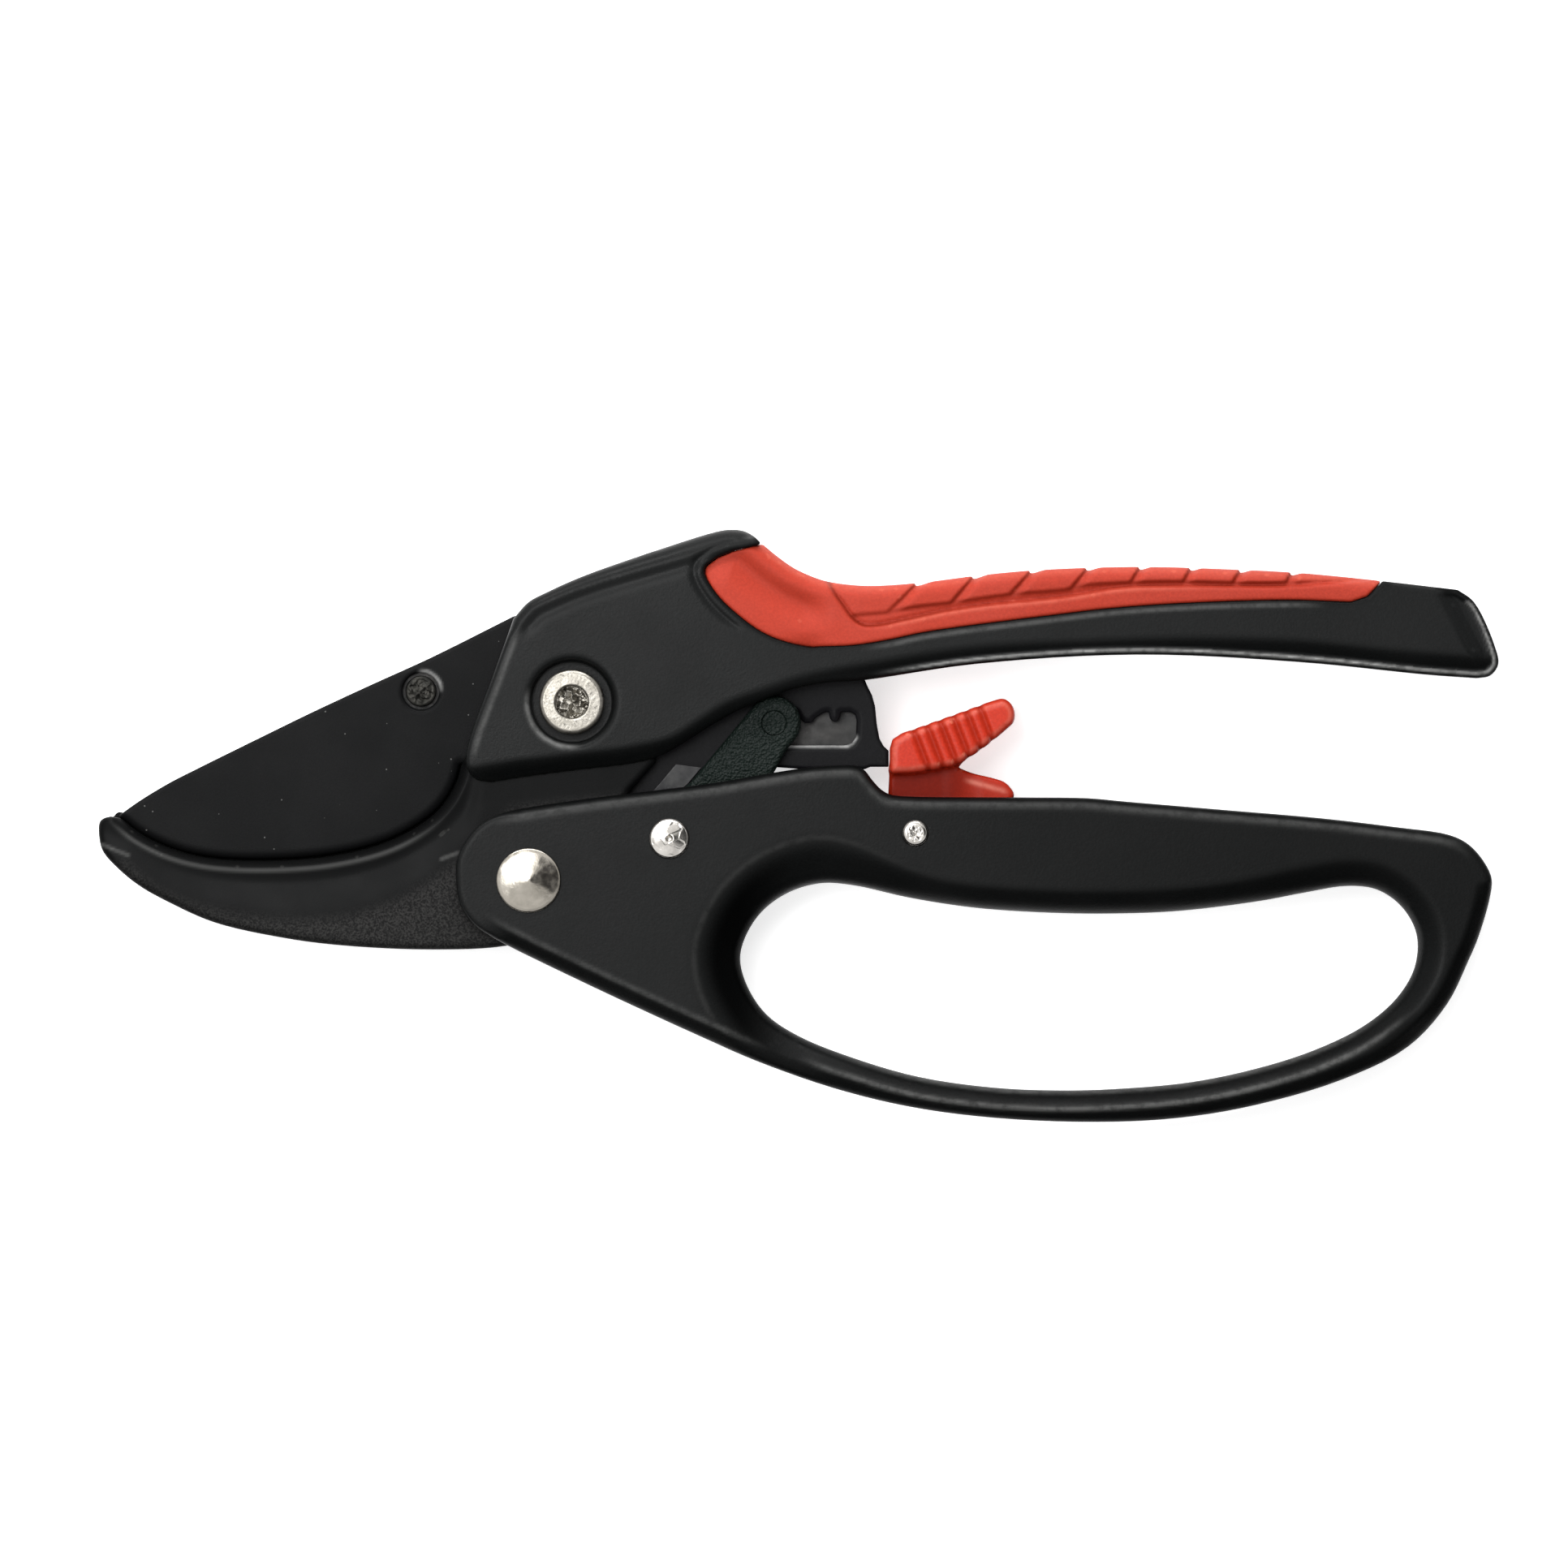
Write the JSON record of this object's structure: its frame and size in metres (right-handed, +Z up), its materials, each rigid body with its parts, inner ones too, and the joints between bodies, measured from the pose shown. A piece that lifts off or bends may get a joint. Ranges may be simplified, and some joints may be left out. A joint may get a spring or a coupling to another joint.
{
  "type": "ratchet anvil pruner",
  "caption": "Ratchet anvil pruner with a coated blade, an anvil jaw, a red soft grip, a closed finger-loop handle and a red thumb latch.",
  "frame": {"origin": "below the middle of the closed tool, on the plane of the handles' rear faces that it lies on", "axes": "+X from the jaws to the handle ends, +Y from the finger-loop handle to the red-gripped handle, +Z up through the thickness, towards the rivet heads"},
  "size_m": [0.2069, 0.0876, 0.0193],
  "materials": {
    "handle_black": "satin black powder coat on cast aluminium",
    "grip_red": "soft matte moulded grip, fine grain",
    "blade_coat": "black low-friction coating over ground steel, fine grain",
    "anvil_coat": "black coating on cast aluminium, finely pebbled",
    "carrier_steel": "dark oiled steel plate",
    "rack_black": "black coated toothed plate",
    "nickel": "satin nickel rivets and bolt",
    "dark_screw": "blackened screw",
    "link_green_black": "coarse pebbled green-black coating",
    "latch_red": "semi-gloss moulded plastic",
    "spring_steel": "bright drawn wire",
    "bush_nylon": "natural nylon"
  },
  "bodies": {
    "upper": {"upper_handle": "handle_black", "upper_grip": "grip_red", "blade": "blade_coat", "blade_screw": "dark_screw", "blade_carrier": "carrier_steel", "ratchet_rack": "rack_black", "rack_rivet": "nickel", "carrier_pins": "nickel", "main_pivot_bolt": "nickel", "main_pivot_nut": "nickel", "pivot_washers": "bush_nylon"},
    "anvil": {"anvil_jaw": "anvil_coat"},
    "lower": {"lower_handle": "handle_black", "lower_pivot_rivet": "nickel", "lower_pivot_washer": "nickel", "spring_bush": "bush_nylon", "return_spring": "spring_steel", "link_rivet": "nickel", "link_rivet_washer": "nickel", "latch_rivet": "nickel", "latch_rivet_washer": "nickel", "latch_washers": "bush_nylon"},
    "link": {"link_arm": "link_green_black", "ratchet_stud": "link_green_black", "link_spring": "spring_steel"},
    "latch": {"thumb_latch": "latch_red"}
  },
  "joints": [
    {"name": "jaw_pivot", "type": "hinge", "parent": "upper", "child": "anvil", "pos_m": [-0.0337, 0.0183, 0.009], "axis": [0, 0, 1], "range_deg": [0, 30]},
    {"name": "handle_pivot", "type": "hinge", "parent": "anvil", "child": "lower", "pos_m": [-0.0401, -0.0081, 0.009], "axis": [0, 0, 1], "range_deg": [-42.2, 0], "deforming": ["return_spring"]},
    {"name": "link_pivot", "type": "hinge", "parent": "lower", "child": "link", "pos_m": [-0.0193, -0.0019, 0.009], "axis": [0, 0, 1], "range_deg": [0, 25.9]},
    {"name": "latch_pivot", "type": "hinge", "parent": "lower", "child": "latch", "pos_m": [0.0171, -0.0011, 0.009], "axis": [0, 0, 1], "range_deg": [-20, 0]}
  ],
  "couplings": [
    {"joint": "handle_pivot", "follows": "jaw_pivot", "ratio": -1.4057},
    {"joint": "link_pivot", "follows": "jaw_pivot", "ratio": 0.863}
  ]
}
